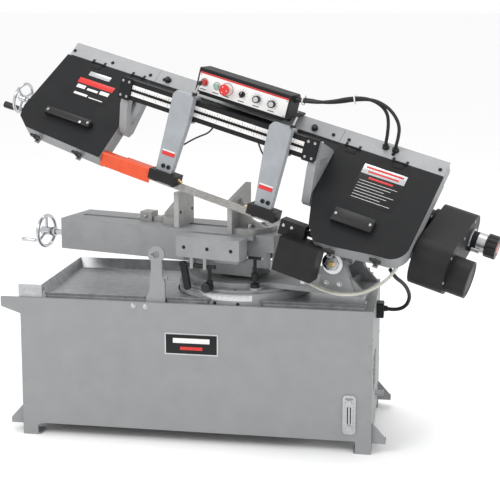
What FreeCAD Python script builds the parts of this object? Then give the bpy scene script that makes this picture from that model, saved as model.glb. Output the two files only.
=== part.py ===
import FreeCAD, Part
import math
import os

# Horizontal metal-cutting band saw with a swivelling, tilting head.
# Millimetres. X right, Y back, Z up. Origin: centre of the base footprint, on the floor.

# ---- driving dimensions -------------------------------------------------------------
BASE_WIDTH = 1275.0
BASE_DEPTH = 540.0
SHEET = 3.0
PANEL_TOP = 516.0
PANEL_BOTTOM = 45.0
DECK_TOP = 505.0
FOOT_BOLT_R = 7.0
FOOT_BOLT_X = 604.5
FOOT_BOLT_Y = 237.0

UPPER_YAW = -15.0
UPPER_X = -50.0
TABLE_X = 195.0
TABLE_Y = 40.0
DISC_R = 244.0
DISC_TOP = 566.0
BED_TOP = 754.0
SCREW_Z = 674.0
SCREW_R = 11.0
LEVER_BAR_R = 6.0
RUN = 0.08

HEAD_PIVOT_X = 590.0
HEAD_PIVOT_Z = 678.0
HEAD_TILT = 14.7
PIVOT_R = 18.0
WHEEL_LEAN = 46.8

WHEEL_R = 170.0
WHEEL_P = 134.0
DRIVE_S = 54.0
IDLER_S = -1138.0
BLADE_T = 0.9
BLADE_W = 27.0
BLADE_N = 165.0
HOUSING_N = 138.0
COVER_N = 199.5
WALL = 4.0
SCREW_P = 115.9
SCREW_N = 119.8

# ---- frames -------------------------------------------------------------------------
V = FreeCAD.Vector
TURN = FreeCAD.Rotation
BASE = FreeCAD.Placement()
UPPER = FreeCAD.Placement(V(UPPER_X, 0, 0), TURN(V(0, 0, 1), UPPER_YAW))
# head frame: s along the head (left is negative), y back, z square to the head
HEAD = UPPER.multiply(FreeCAD.Placement(V(HEAD_PIVOT_X, 0, HEAD_PIVOT_Z), TURN(V(0, 1, 0), HEAD_TILT)))
# wheel frame: s along the head, p up the plane of the wheels, n out towards the covers
WHEEL = HEAD.multiply(FreeCAD.Placement(V(0, 0, 0), TURN(V(1, 0, 0), WHEEL_LEAN)))

os.makedirs("parts", exist_ok=True)


# ---- helpers ------------------------------------------------------------------------
def save(name, shape, frame):
    """Place a shape made in its own frame and write it out."""
    placed = shape.copy()
    placed.Placement = frame.multiply(placed.Placement)
    placed.exportStep("parts/" + name + ".step")
    print(name, "valid", placed.isValid(), "solids", len(placed.Solids), "volume", round(placed.Volume))


def box(x0, x1, y0, y1, z0, z1):
    return Part.makeBox(x1 - x0, y1 - y0, z1 - z0, V(x0, y0, z0))


def rod(axis, a, b, lo, hi, r):
    """Cylinder along X, Y or Z; a and b are the other two coordinates in order."""
    if axis == "x":
        return Part.makeCylinder(r, hi - lo, V(lo, a, b), V(1, 0, 0))
    if axis == "y":
        return Part.makeCylinder(r, hi - lo, V(a, lo, b), V(0, 1, 0))
    return Part.makeCylinder(r, hi - lo, V(a, b, lo), V(0, 0, 1))


def ring(axis, a, b, lo, hi, r_out, r_in):
    return rod(axis, a, b, lo, hi, r_out).cut(rod(axis, a, b, lo, hi, r_in))


def point(plane, a, b, c):
    if plane == "xy":
        return V(a, b, c)
    if plane == "xz":
        return V(a, c, b)
    return V(c, a, b)


def outline(plane, corners, level):
    """Closed wire; a corner (a, b, r) is rounded to radius r."""
    count = len(corners)
    edges = []
    spans = []
    for i in range(count):
        here = point(plane, corners[i][0], corners[i][1], level)
        before = point(plane, corners[i - 1][0], corners[i - 1][1], level)
        after = point(plane, corners[(i + 1) % count][0], corners[(i + 1) % count][1], level)
        if len(corners[i]) < 3:
            spans.append((here, here, None))
            continue
        u = (before - here).normalize()
        w = (after - here).normalize()
        half = u.getAngle(w) / 2
        reach = corners[i][2] / math.tan(half)
        mid = (u + w).normalize()
        centre = here + mid * (corners[i][2] / math.sin(half))
        spans.append((here + u * reach, here + w * reach, centre - mid * corners[i][2]))
    for i in range(count):
        start, end, middle = spans[i]
        if middle is not None:
            edges.append(Part.Arc(start, middle, end).toShape())
        follow = spans[(i + 1) % count][0]
        if (follow - end).Length > 1e-6:
            edges.append(Part.makeLine(end, follow))
    return Part.Wire(edges)


def prism(plane, corners, lo, hi):
    """Extrude an outline from lo to hi along the remaining axis."""
    face = Part.Face(outline(plane, corners, lo))
    return face.extrude(point(plane, 0, 0, hi - lo))


def inset(plane, corners, lo, hi, wall):
    """The same prism made smaller all round by a wall."""
    face = Part.Face(outline(plane, corners, lo)).makeOffset2D(-wall)
    return face.extrude(point(plane, 0, 0, hi - lo))


def join(*shapes):
    body = shapes[0]
    for other in shapes[1:]:
        body = body.fuse(other)
    return body.removeSplitter()


def hexagon(axis, a, b, lo, hi, across):
    """Hexagonal nut or bolt head."""
    r = across / math.sqrt(3)
    corners = []
    for i in range(6):
        corners.append((a + r * math.cos(math.pi * i / 3), b + r * math.sin(math.pi * i / 3)))
    plane = {"x": "yz", "y": "xz", "z": "xy"}[axis]
    return prism(plane, corners, lo, hi)


def hull_of_two(plane, c0, r0, c1, r1, lo, hi):
    """Belt-shaped plate round two circles of different size."""
    dx = c1[0] - c0[0]
    dy = c1[1] - c0[1]
    gap = math.hypot(dx, dy)
    along = math.atan2(dy, dx)
    lean = math.acos((r0 - r1) / gap)
    corners = []
    for side in (lean, -lean):
        a = along + side
        first = (c0[0] + r0 * math.cos(a), c0[1] + r0 * math.sin(a))
        second = (c1[0] + r1 * math.cos(a), c1[1] + r1 * math.sin(a))
        corners += [first, second] if side > 0 else [second, first]
    far0 = (c0[0] - r0 * math.cos(along), c0[1] - r0 * math.sin(along))
    far1 = (c1[0] + r1 * math.cos(along), c1[1] + r1 * math.sin(along))
    p = [point(plane, q[0], q[1], lo) for q in corners]
    edges = [Part.makeLine(p[0], p[1])]
    edges.append(Part.Arc(p[1], point(plane, far1[0], far1[1], lo), p[2]).toShape())
    edges.append(Part.makeLine(p[2], p[3]))
    edges.append(Part.Arc(p[3], point(plane, far0[0], far0[1], lo), p[0]).toShape())
    return Part.Face(Part.Wire(edges)).extrude(point(plane, 0, 0, hi - lo))


def tube(name, points, r):
    """Round cord along straight runs joined by tangent arcs."""
    pts = [V(*q) for q in points]
    edges = []
    start = pts[0]
    radii = []
    length = 0.0
    for i in range(1, len(pts) - 1):
        u = (pts[i - 1] - pts[i])
        w = (pts[i + 1] - pts[i])
        short = min(u.Length, w.Length)
        u.normalize()
        w.normalize()
        half_turn = (math.pi - u.getAngle(w)) / 2
        reach = 0.45 * short
        radius = reach / math.tan(half_turn)
        mid = (u + w).normalize()
        centre = pts[i] + mid * (radius / math.cos(half_turn))
        a = pts[i] + u * reach
        b = pts[i] + w * reach
        edges.append(Part.makeLine(start, a))
        edges.append(Part.Arc(a, centre - mid * radius, b).toShape())
        length += (a - start).Length + 2 * half_turn * radius
        radii.append(round(radius, 1))
        start = b
    edges.append(Part.makeLine(start, pts[-1]))
    length += (pts[-1] - start).Length
    spine = Part.Wire(edges)
    section = Part.Wire([Part.makeCircle(r, pts[0], pts[1] - pts[0])])
    solid = spine.makePipeShell([section], True, True)
    ratio = solid.Volume / (math.pi * r * r * length)
    print(name, "radii", radii, "length", round(length), "volume ratio", round(ratio, 4))
    return solid


def handwheel(a, b, plane_x, rim_r, rim_t, hub_r, hub_lo, hub_hi, bore, spokes):
    """Spoked wheel turning about an X axis at (a, b), rim centred on plane_x."""
    rim = Part.makeTorus(rim_r, rim_t, V(plane_x, a, b), V(1, 0, 0))
    wheel = rim
    for i in range(spokes):
        angle = 2 * math.pi * i / spokes + math.pi / 2
        out = V(0, math.cos(angle), math.sin(angle))
        spoke = Part.makeCylinder(rim_t * 0.8, rim_r, V(plane_x, a, b), out)
        wheel = wheel.fuse(spoke)
    wheel = wheel.fuse(rod("x", a, b, hub_lo, hub_hi, hub_r))
    return wheel.cut(rod("x", a, b, hub_lo - 1, hub_hi + 1, bore))


# ---- base ---------------------------------------------------------------------------
X_END = BASE_WIDTH / 2
Y_END = BASE_DEPTH / 2
LEG = 56.0


def front_panel():
    """Front sheet with two legs and an ear at the top left."""
    corners = [(-X_END, 0), (-X_END + LEG, 0), (-X_END + LEG, PANEL_BOTTOM), (X_END - LEG, PANEL_BOTTOM),
               (X_END - LEG, 0), (X_END, 0), (X_END, PANEL_TOP), (-711, PANEL_TOP), (-711, 481, 4),
               (-X_END, 456)]
    sheet = prism("xz", corners, -Y_END, -Y_END + SHEET)
    lip = box(-711, X_END, -Y_END + SHEET, -258, PANEL_TOP - SHEET, PANEL_TOP)
    return join(sheet, lip)


def side_sheet(x):
    """End panel with a leg at front and back."""
    front = -Y_END + SHEET
    corners = [(front, 0), (front + LEG, 0), (front + LEG, PANEL_BOTTOM), (Y_END - LEG, PANEL_BOTTOM),
               (Y_END - LEG, 0), (Y_END, 0), (Y_END, DECK_TOP), (front, DECK_TOP)]
    return prism("yz", corners, x, x + SHEET)


def anchor_lug(side, y):
    """Small angled bracket for a levelling bolt."""
    root = side * X_END
    tip = side * (X_END + 50)
    corners = [(root, 40), (tip, 40), (tip, 56), (root, 112)]
    web = prism("xz", corners, y - 25, y - 19)
    plate = box(min(root, tip), max(root, tip), y - 25, y + 25, 36, 44)
    return join(plate, web).cut(rod("z", side * (X_END + 28), y + 4, 30, 50, 7))


def cabinet():
    """Sheet-steel cabinet: ends, back, deck, foot pads and levelling lugs."""
    back = [(-X_END + SHEET, 0), (-X_END + LEG, 0), (-X_END + LEG, PANEL_BOTTOM),
            (X_END - LEG, PANEL_BOTTOM), (X_END - LEG, 0), (X_END - SHEET, 0),
            (X_END - SHEET, DECK_TOP), (-X_END + SHEET, DECK_TOP)]
    body = join(side_sheet(-X_END), side_sheet(X_END - SHEET), prism("xz", back, Y_END - SHEET, Y_END))
    deck = box(-X_END + SHEET, X_END - SHEET, -Y_END + SHEET, Y_END - SHEET, DECK_TOP - 4, DECK_TOP)
    body = body.fuse(deck)
    for x in (40, 256):
        body = body.fuse(box(x, x + 4, -Y_END + SHEET, Y_END - SHEET, 430, DECK_TOP - 4))
    for sx in (-1, 1):
        for sy in (-1, 1):
            cx = sx * FOOT_BOLT_X
            cy = sy * FOOT_BOLT_Y
            pad = box(cx - 30, cx + 30, cy - 30, cy + 30, 0, 6)
            body = body.fuse(pad).cut(rod("z", cx, cy, -1, 7, FOOT_BOLT_R))
            body = body.fuse(anchor_lug(sx, sy * 230))
    body = body.cut(rod("x", 0, 135, X_END - 5, X_END + 5, 12.5))
    return body.removeSplitter()


def chip_tray():
    """Sloping-walled tray on the deck, lower at the front and right, round the turntable."""
    def rect(x0, x1, y0, y1, z):
        return Part.makePolygon([V(x0, y0, z), V(x1, y0, z), V(x1, y1, z), V(x0, y1, z), V(x0, y0, z)])
    outer = Part.makeLoft([rect(-549, 606, -242, 196, 522), rect(-563, 620, -257, 217, 561)], True, True)
    inner = Part.makeLoft([rect(-546, 603, -239, 193, 524.5), rect(-560, 617, -254, 214, 561.5)], True, True)
    tray = outer.cut(inner)
    skirt = box(-549, 606, -242, 196, DECK_TOP, 523).cut(box(-546, 603, -239, 193, DECK_TOP - 1, 524))
    tray = tray.fuse(skirt)
    tray = tray.cut(box(-555, 640, -270, -236, 533, 570))
    tray = tray.cut(box(600, 640, -270, 230, 545, 570))
    tray = tray.fuse(box(-645, -557, -262, -259, PANEL_TOP, 563))
    tray = tray.fuse(box(-560, -556, -259, -252, 530, 561))
    tray = tray.cut(box(-174, -98, -265, -236, DECK_TOP - 1, 570))
    centre = UPPER.multVec(V(TABLE_X, TABLE_Y, 0))
    return tray.cut(rod("z", centre.x, centre.y, DECK_TOP - 1, 600, DISC_R + 6)).removeSplitter()


def coolant_tank():
    """Coolant tank with its drain spigot and the immersed pump standing in the lid."""
    tank = box(370, 625, -262, 200, 60, 270).cut(box(373, 622, -259, 197, 63, 271))
    tank = tank.fuse(box(370, 625, -262, 200, 270, 273))
    spigot = ring("x", 0, 135, 620, 668, 10, 7)
    tank = tank.cut(rod("x", 0, 135, 618, 630, 7)).fuse(spigot)
    pump = join(rod("z", 505, 75, 273, 280, 48), rod("z", 505, 75, 280, 400, 42))
    pump = join(pump, rod("z", 505, 75, 90, 273, 22), rod("z", 505, 75, 400, 412, 34))
    return join(tank, pump)


def sight_gauge():
    """Coolant level gauge: frame, glass tube and two banjo nuts."""
    cx = 559.5
    corners = [(cx - 23, 71, 14), (cx + 23, 71, 14), (cx + 23, 214, 14), (cx - 23, 214, 14)]
    plate = prism("xz", corners, -Y_END - 4, -Y_END)
    body = plate.fuse(box(cx - 14, cx + 14, -Y_END - 11, -Y_END - 4, 84, 201))
    body = body.cut(box(cx - 7, cx + 7, -Y_END - 12, -Y_END - 5, 112, 173))
    body = body.fuse(rod("z", cx, -Y_END - 8, 112, 173, 4.5))
    for z in (97, 188):
        body = body.fuse(hexagon("y", cx, z, -Y_END - 16, -Y_END - 10, 20))
    return body.removeSplitter()


def inlet_box():
    """Moulded cable inlet on the right-hand end."""
    corners = [(-26, 427, 5), (26, 427, 5), (26, 483, 5), (-26, 483, 5)]
    return prism("yz", corners, X_END, X_END + 26)


def stop_arm():
    """Upright head-stop post with an eye, standing on the deck behind the front panel."""
    corners = [(-170, DECK_TOP), (-101, DECK_TOP), (-101, 590), (-110, 610), (-112, 668), (-151, 668),
               (-152, 625), (-157, 610, 10), (-157, 560, 30), (-170, 530)]
    post = prism("xz", corners, -257, -243)
    eye = rod("y", -132, 688, -257, -243, 30)
    arm = post.fuse(eye).cut(rod("y", -132, 688, -260, -240, 12))
    arm = arm.cut(box(-150, -145, -262, -238, 686, 690))
    bolt = hexagon("x", -250, 604, -101, -93, 13)
    return join(arm, box(-140, -101, -254, -246, 598, 610), bolt)


# ---- turntable, vise ----------------------------------------------------------------
def turntable_disc():
    """Stepped cast disc that carries the vise and the swivel arm."""
    disc = rod("z", TABLE_X, TABLE_Y, DECK_TOP, 556, DISC_R)
    disc = disc.fuse(rod("z", TABLE_X, TABLE_Y, 556, DISC_TOP, DISC_R - 9))
    disc = disc.cut(rod("z", TABLE_X, TABLE_Y, DECK_TOP - 1, 545, DISC_R - 21))
    return disc.fuse(ring("z", TABLE_X, TABLE_Y, DECK_TOP, 546, 90, 60)).removeSplitter()


def vise_bed():
    """Hollow cast bed on a round pedestal, with a slot for the jaw and a front ledge."""
    bed = box(-519, 370, -103, 104, 636, BED_TOP).cut(box(-505, 356, -89, 90, 630, BED_TOP - 18))
    pedestal = rod("z", TABLE_X, TABLE_Y, DISC_TOP, 640, 88)
    neck_corners = [(97, -103), (300, -103), (300, 104), (97, 104)]
    neck = prism("xy", neck_corners, 640, BED_TOP - 18)
    bed = join(bed, pedestal, neck)
    web = prism("xy", [(80, -103), (285, -103), (262, 30), (108, 30)], 600, 640)
    bed = bed.fuse(web.common(box(0, 400, -103, 104, 600, 640)))
    bed = bed.fuse(box(43, 300, -128, -102, BED_TOP - 16, BED_TOP))
    bed = bed.cut(box(-480, 150, -14, 14, BED_TOP - 20, BED_TOP + 1))
    collar = rod("x", 0, SCREW_Z, -545, -519, 24)
    bed = bed.fuse(collar)
    bed = bed.cut(rod("x", 0, SCREW_Z, -550, -500, SCREW_R + RUN))
    bed = bed.cut(rod("x", 0, SCREW_Z, 96, 136, SCREW_R + RUN))
    clear = ring("z", TABLE_X, TABLE_Y, 560, 599, 240, 88)
    relief = ring("z", TABLE_X, TABLE_Y, 630, 694, 260, 203).common(box(300, 480, -130, 10, 630, 694))
    return bed.cut(clear).cut(relief).removeSplitter()


def front_table():
    """Short work table in front of the blade slot."""
    table = box(43, 291, -225, -157, 679, BED_TOP).cut(box(51, 283, -217, -165, 670, BED_TOP - 12))
    web = box(60, 274, -200, -103, 664, 679)
    for x in (98, 150):
        table = table.fuse(prism("yz", [(-224, 680), (-224, 640), (-206, 640), (-190, 680)], x, x + 12))
    return join(table, web).cut(rod("x", -215, 650, 90, 170, LEVER_BAR_R + RUN))


def fixed_jaw():
    """Fixed jaw with its rib and slotted foot."""
    face = prism("yz", [(-128, BED_TOP), (40, BED_TOP), (40, 920), (28, 920), (-128, 875)], 200, 218)
    rib = prism("xz", [(218, 872), (226, 872), (262, 800, 30), (320, 774), (218, 774)], -58, -42)
    foot = prism("xy", [(218, -112), (290, -112, 30), (338, -30, 30), (330, 30, 20), (218, 40)],
                 BED_TOP, BED_TOP + 20)
    slot = hull_of_two("xy", (262, -70), 8, (296, -14), 8, BED_TOP - 1, BED_TOP + 21)
    return join(face, rib, foot).cut(slot)


def movable_jaw():
    """Sliding jaw with gusset, foot, half-nut carrier and the nut under the bed."""
    z = BED_TOP + 0.2
    face = box(-32, -12, -95, 27, z, 885)
    gusset = prism("xz", [(-32, 870), (-44, 870), (-112, 792), (-112, 778), (-32, 778)], -18, 6)
    foot = prism("xy", [(-32, -70), (-32, 27), (-100, 25, 15), (-138, -6, 25), (-100, -50, 20)], z, 780)
    link = box(-170, -110, -14, 12, z, 772)
    block = box(-214, -165, -25, 25, z, 790).cut(rod("y", -190, 774, -26, 26, 7))
    neck = box(-205, -175, -13.5, 13.5, 690, z + 1)
    nut = box(-208, -172, -24, 24, 652, 692)
    jaw = join(face, gusset, foot, link, block, neck, nut)
    jaw = jaw.cut(rod("x", 0, SCREW_Z, -215, -165, SCREW_R + RUN))
    return join(jaw, hexagon("z", -106, -8, 780, 792, 22))


def vise_screw():
    """Plain-turned vise screw."""
    return rod("x", 0, SCREW_Z, -676, 132, SCREW_R)


def vise_handwheel():
    """Spoked handwheel with a crank grip."""
    wheel = handwheel(0, SCREW_Z, -658, 61, 7, 17, -676, -612, SCREW_R, 3)
    grip = Part.makeCone(5.5, 4.5, 72, V(-730, -54, SCREW_Z - 30), V(1, 0, 0))
    return join(wheel, grip)


def swivel_lock_lever():
    """Lever hung on a bar under the front table that clamps the head at the cutting angle."""
    bar = rod("x", -215, 650, 52, 190, LEVER_BAR_R)
    link = prism("xz", [(54, 662, 8), (78, 662, 8), (98, 562, 10), (74, 556, 10)], -221, -209)
    post = rod("z", 172, -215, 590, 652, 7)
    hub = rod("z", 172, -215, 566, 600, 12)
    knob = rod("y", 166, 578, -232, -208, 19)
    return join(bar, link, post, hub, knob)


def angle_lock_lever():
    """T-handled clamp screw on the turntable rim."""
    stem = rod("z", 318, -150, 577, 682, 6)
    handle = rod("x", -150, 682, 294, 342, 5.5)
    return join(stem, handle, rod("z", 318, -150, 600, 628, 13), rod("z", 318, -150, 577, 590, 16))


# ---- swivel arm ---------------------------------------------------------------------
def swivel_arm():
    """Ring round the pedestal, arm to the right and two cheeks that carry the head."""
    z0 = DISC_TOP + 0.5
    z1 = 585
    plate = rod("z", TABLE_X, TABLE_Y, z0, z1, 205)
    plate = plate.fuse(prism("xy", [(240, -110), (420, -95), (700, -95), (700, 95), (420, 95), (250, TABLE_Y + 170)],
                             z0, z1))
    plate = plate.cut(rod("z", TABLE_X, TABLE_Y, z0 - 1, z1 + 1, 92))
    for y0 in (-95, 70):
        cheek = prism("xz", [(538, z1), (668, z1), (628, 690), (552, 690)], y0, y0 + 25)
        plate = plate.fuse(cheek).fuse(rod("y", HEAD_PIVOT_X, HEAD_PIVOT_Z, y0, y0 + 25, 38))
        brace = prism("xz", [(650, z1), (698, z1), (648, 636)], y0 + 6, y0 + 19)
        plate = plate.fuse(brace)
    plate = plate.cut(rod("y", HEAD_PIVOT_X, HEAD_PIVOT_Z, -100, 100, PIVOT_R))
    tie = box(550, 640, -70, 70, z1, 612)
    boss = rod("z", 318, -150, z0, 576, 18)
    lug = prism("xy", [(296, -80), (296, -150), (340, -150), (340, -80)], z0, 576)
    return join(plate, tie, boss, lug)


def pivot_shaft():
    """Head pivot with washer and nut."""
    shaft = rod("y", HEAD_PIVOT_X, HEAD_PIVOT_Z, -112, 108, PIVOT_R)
    washer = rod("y", HEAD_PIVOT_X, HEAD_PIVOT_Z, -101, -95, 32)
    nut = hexagon("y", HEAD_PIVOT_X, HEAD_PIVOT_Z, -109, -101, 46)
    rear = hexagon("y", HEAD_PIVOT_X, HEAD_PIVOT_Z, 95, 104, 46)
    return join(shaft, washer, nut, rear)


# ---- head ---------------------------------------------------------------------------
def to_head(shape):
    """Bring a shape made in the wheel frame into the head frame."""
    turned = shape.copy()
    turned.Placement = FreeCAD.Placement(V(0, 0, 0), TURN(V(1, 0, 0), WHEEL_LEAN)).multiply(turned.Placement)
    return turned


def yoke(lo, hi, foot):
    """Bent bracket that carries one end of the guide bar, seen along the head."""
    outer = [(-110, 398), (-110, 296), (-74, foot + 16, 8), (-46, foot, 8), (-20, foot + 14, 8), (58, 322),
             (36, 352)]
    inner = [(-78, 330), (-78, 292), (-50, foot + 48, 6), (-38, foot + 48, 6), (14, 300), (2, 330)]
    return prism("yz", outer, lo, hi).cut(prism("yz", inner, lo - 1, hi + 1))


def head_frame():
    """Pivot hub, arm to the housings, top beam and guide-bar yokes."""
    hub = rod("y", 0, 0, -66, 66, 36)
    arm = prism("yz", [(-30, 0), (-60, 43), (-121, 72.4), (-73, 123.4), (-10, 80), (30, 20)], -50, 50)
    hub = join(hub, arm).cut(rod("y", 0, 0, -70, 70, PIVOT_R + 0.05))
    beam = box(-1300, 250, 327, 386, 140, 199.7).cut(box(-1294, 244, 333, 380, 146, 193.7))
    rail = join(box(-1000, 250, 386, 392, 146, 150), beam)
    return Part.makeCompound([hub, to_head(rail), yoke(-939.8, -908, 168), yoke(-176, -144.2, 150)])


LEFT_SHAPE = [(-1314, 326), (-1343, 46), (-1331, -1), (-1283, -37), (-940, -55), (-940, 326)]
RIGHT_SHAPE = [(-144, 326), (-144, 98), (-101, -21), (-57, -75), (22, -68), (160, -46), (252, -40, 66),
               (252, 326)]


def left_housing():
    """Idler wheel housing with rails and bracket for the blade tension slide."""
    shell = prism("xy", LEFT_SHAPE, HOUSING_N, COVER_N - 0.5)
    shell = shell.cut(inset("xy", LEFT_SHAPE, HOUSING_N + WALL, COVER_N, WALL))
    shell = shell.cut(box(-946, -930, -50, -12, 148, 182))
    shell = shell.cut(box(-946, -930, 284, 321, 143, 195))
    slot = hull_of_two("xy", (IDLER_S, WHEEL_P), 19, (IDLER_S + 14, WHEEL_P), 18.9, 136, 146)
    shell = shell.cut(slot)
    for p in (84, 174):
        shell = shell.fuse(box(-1214, -1050, p, p + 10, 112, HOUSING_N))
    bracket = box(-1264, -1250, SCREW_P - 18, SCREW_P + 18, 96, HOUSING_N)
    bracket = bracket.cut(rod("x", SCREW_P, SCREW_N, -1270, -1240, 8 + RUN))
    shell = shell.fuse(box(-1231, -1213, -70, -38, 166, 173)).fuse(box(-1038, -1020, -78, -48, 166, 173))
    return join(shell, bracket)


def right_housing():
    """Drive wheel housing."""
    shell = prism("xy", RIGHT_SHAPE, HOUSING_N, COVER_N - 0.5)
    shell = shell.cut(inset("xy", RIGHT_SHAPE, HOUSING_N + WALL, COVER_N, WALL))
    shell = shell.cut(box(-112, -60, -56, -16, 148, 182))
    shell = shell.cut(box(-150, -138, 284, 321, 143, 195))
    shell = shell.fuse(box(-1, 17, -98, -67, 166, 173)).fuse(box(156, 174, -74, -43.5, 166, 173))
    return shell.cut(rod("z", DRIVE_S, WHEEL_P, 136, 146, 40))


def top_plates():
    """Three bolted plates along the top of the head."""
    parts = []
    for lo, hi in ((-1306, -917.5), (-916.5, -144.5), (-143.5, 252)):
        parts.append(box(lo, hi, 327, 388, 200, 203))
    return Part.makeCompound(parts)


def black_guards():
    """Blade guard under the beam, chip box and the guard behind the right guide."""
    channel = box(-939, -145, 284.5, 326.5, 140, 198).cut(box(-940, -144, 288, 330, 143, 195))
    chip = box(-169, -25, -225, -150, -56, 66).cut(box(-166, -28, -222, -153, -59, 63))
    tab = box(-169, -61, -153, -138, 20, 66)
    small = box(-198, -104, -172, -126, 57, 111).cut(box(-199, -103, -158, -134, 49, 106))
    chute = join(chip, tab, small).cut(to_head(prism("xy", RIGHT_SHAPE, HOUSING_N - 1, COVER_N + 4.5)))
    return Part.makeCompound([to_head(channel), chute])


def guide_bar():
    """Bar for the two blade-guide arms, with end plates and a groove."""
    bar = box(-936, -151, -135, -110.2, 328, 402)
    bar = bar.cut(box(-896, -191, -136, -133, 362, 368))
    left = box(-941, -893, -139, -135, 324, 406)
    right = box(-194, -147, -139, -135, 324, 406)
    return join(bar, left, right)


def guide_arm(top, foot):
    """Tapered arm hanging on the guide bar; top and foot are (left, right, height)."""
    corners = [(foot[0], foot[2]), (foot[1], foot[2]), (top[1], top[2] - 96), (top[1], top[2] - 10),
               (top[1] - 12, top[2]), (top[0] + 10, top[2]), (top[0], top[2] - 14), (top[0], top[2] - 96)]
    web = prism("xz", corners, -167, -139.5)
    cap = box(top[0] + 8, top[1] - 4, -140, -98, 403, 413)
    hook = box(top[0] + 8, top[1] - 4, -109.5, -98, 318, 404)
    toe = box(top[0] + 8, top[1] - 4, -140, -98, 316, 322)
    return join(web, cap, hook, toe)


def guide_block(lo, hi, keep):
    """Blade-guide block with a blade slot and two pairs of rollers; keep is half the pair spacing."""
    block = box(lo, hi, -186, -125, 90, 125.3)
    block = block.cut(box(lo - 1, hi + 1, -149, -142, 88, 106))
    for s in ((lo + hi) / 2 - keep, (lo + hi) / 2 + keep):
        for y in (-154.7, -136.1):
            block = block.fuse(rod("z", s, y, 80.5, 91, 8.5))
    return block.removeSplitter()


def clamp_lever(s, lean):
    """Clamp screw with its raised handle."""
    screw = rod("z", s, -150, 423.2, 434, 7)
    handle = Part.makeCylinder(4, 42, V(s, -150, 430), V(lean, 0, 40))
    return join(screw, handle)


def guard_section(s0, s1, grow):
    """Orange blade guard: a hood over the blade, open below."""
    outer = prism("yz", [(-166 - grow, 66), (-124 + grow, 66), (-124 + grow, 116 + grow, 5),
                         (-166 - grow, 116 + grow, 5)], s0, s1)
    inner = box(s0 - 1, s1 + 1, -163.6 - grow, -126.4 + grow, 60, 113.6 + grow)
    return outer.cut(inner)


def control_box():
    """Control box on a bracket over the top beam."""
    shell = prism("yz", [(-110, 432), (-15, 432, 6), (-15, 505), (-30, 519), (-110, 519, 3)], -655, -293)
    hollow = box(-652, -296, -107, -32, 435, 516)
    shell = shell.cut(hollow)
    for s, r in ((-625, 7), (-575, 9), (-533, 8), (-473, 6), (-414, 6), (-355, 6)):
        shell = shell.cut(rod("y", s, 471, -112, -105, r + RUN))
    for y, z in ((-66, 500), (-48, 502)):
        shell = shell.cut(rod("x", y, z, -297, -292, 8))
    shelf = box(-640, -310, -105, 122, 424, 432.2)
    foot = to_head(box(-600, -350, 344, 391, 203, 207))
    return join(shell, shelf, foot)


def pilot_lamp():
    lamp = rod("y", -625, 471, -122, -110, 9).fuse(rod("y", -625, 471, -110, -98, 7))
    return join(lamp, rod("y", -625, 471, -113, -110, 12))


def start_button():
    return join(rod("y", -575, 471, -119, -98, 9), rod("y", -575, 471, -98, -96, 13))


def stop_button():
    """Mushroom stop button."""
    head = Part.makeCone(20, 17, 9, V(-533, -138, 471), V(0, 1, 0))
    crown = Part.makeCone(14, 20, 4, V(-533, -142, 471), V(0, 1, 0))
    return join(crown, head, rod("y", -533, 471, -130, -98, 8), rod("y", -533, 471, -98, -96, 13))


def panel_knob(s, r, depth, bar):
    """Turning knob on the control panel, with a pointer bar when bar is true."""
    knob = join(rod("y", s, 471, -110 - depth, -110.5, r), rod("y", s, 471, -111, -98, 6))
    knob = knob.fuse(rod("y", s, 471, -98, -96, 11))
    if bar:
        knob = knob.fuse(box(s - 3, s + 3, -110 - depth - 7, -110 - depth, 471 - r, 471 + r))
    return knob.removeSplitter()


# ---- blade and wheels ---------------------------------------------------------------
def blade():
    """Endless blade: flat on the wheels, twisted upright between the guides."""
    r_in = WHEEL_R + 0.3
    r_out = r_in + BLADE_T
    n0 = BLADE_N - BLADE_W / 2
    n1 = BLADE_N + BLADE_W / 2
    low = WHEEL_P - (r_in + r_out) / 2

    def track(r):
        slab = box(IDLER_S, DRIVE_S, WHEEL_P - r, WHEEL_P + r, n0, n1)
        return slab.fuse(rod("z", IDLER_S, WHEEL_P, n0, n1, r)).fuse(rod("z", DRIVE_S, WHEEL_P, n0, n1, r))

    band = track(r_out).cut(track(r_in))
    band = band.cut(box(IDLER_S, DRIVE_S, WHEEL_P - r_out - 1, WHEEL_P, n0 - 1, n1 + 1))

    def section(s, turn):
        a = math.radians(turn)
        across = V(0, math.sin(a), math.cos(a)) * (BLADE_W / 2)
        thick = V(0, math.cos(a), -math.sin(a)) * (BLADE_T / 2)
        mid = V(s, low, BLADE_N)
        p = [mid + across + thick, mid + across - thick, mid - across - thick, mid - across + thick]
        return Part.makePolygon(p + [p[0]])

    stations = [(IDLER_S, 0.0), (-992, 15.6), (-846, 31.2), (-715, WHEEL_LEAN), (-225, WHEEL_LEAN),
                (-132, 31.2), (-39, 15.6), (DRIVE_S, 0.0)]
    for first, last in zip(stations[:-1], stations[1:]):
        band = band.fuse(Part.makeLoft([section(*first), section(*last)], True, True))
    return band


def band_wheel(s, hub_lo, bore):
    """Band wheel with rim, front flange, holed web and hub."""
    wheel = ring("z", s, WHEEL_P, 150, 179.5, WHEEL_R, 150)
    wheel = wheel.fuse(ring("z", s, WHEEL_P, 179.5, 184, WHEEL_R + 3, 150))
    web = rod("z", s, WHEEL_P, 160, 168, 151)
    for i in range(5):
        a = 2 * math.pi * i / 5
        web = web.cut(rod("z", s + 92 * math.cos(a), WHEEL_P + 92 * math.sin(a), 159, 169, 34))
    wheel = wheel.fuse(web).fuse(rod("z", s, WHEEL_P, hub_lo, 188, 34))
    if bore:
        wheel = wheel.cut(rod("z", s, WHEEL_P, hub_lo - 1, 189, bore))
    return wheel


def drive_wheel():
    return join(band_wheel(DRIVE_S, 144, 0), rod("z", DRIVE_S, WHEEL_P, 90, 145, 17.5))


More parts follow.
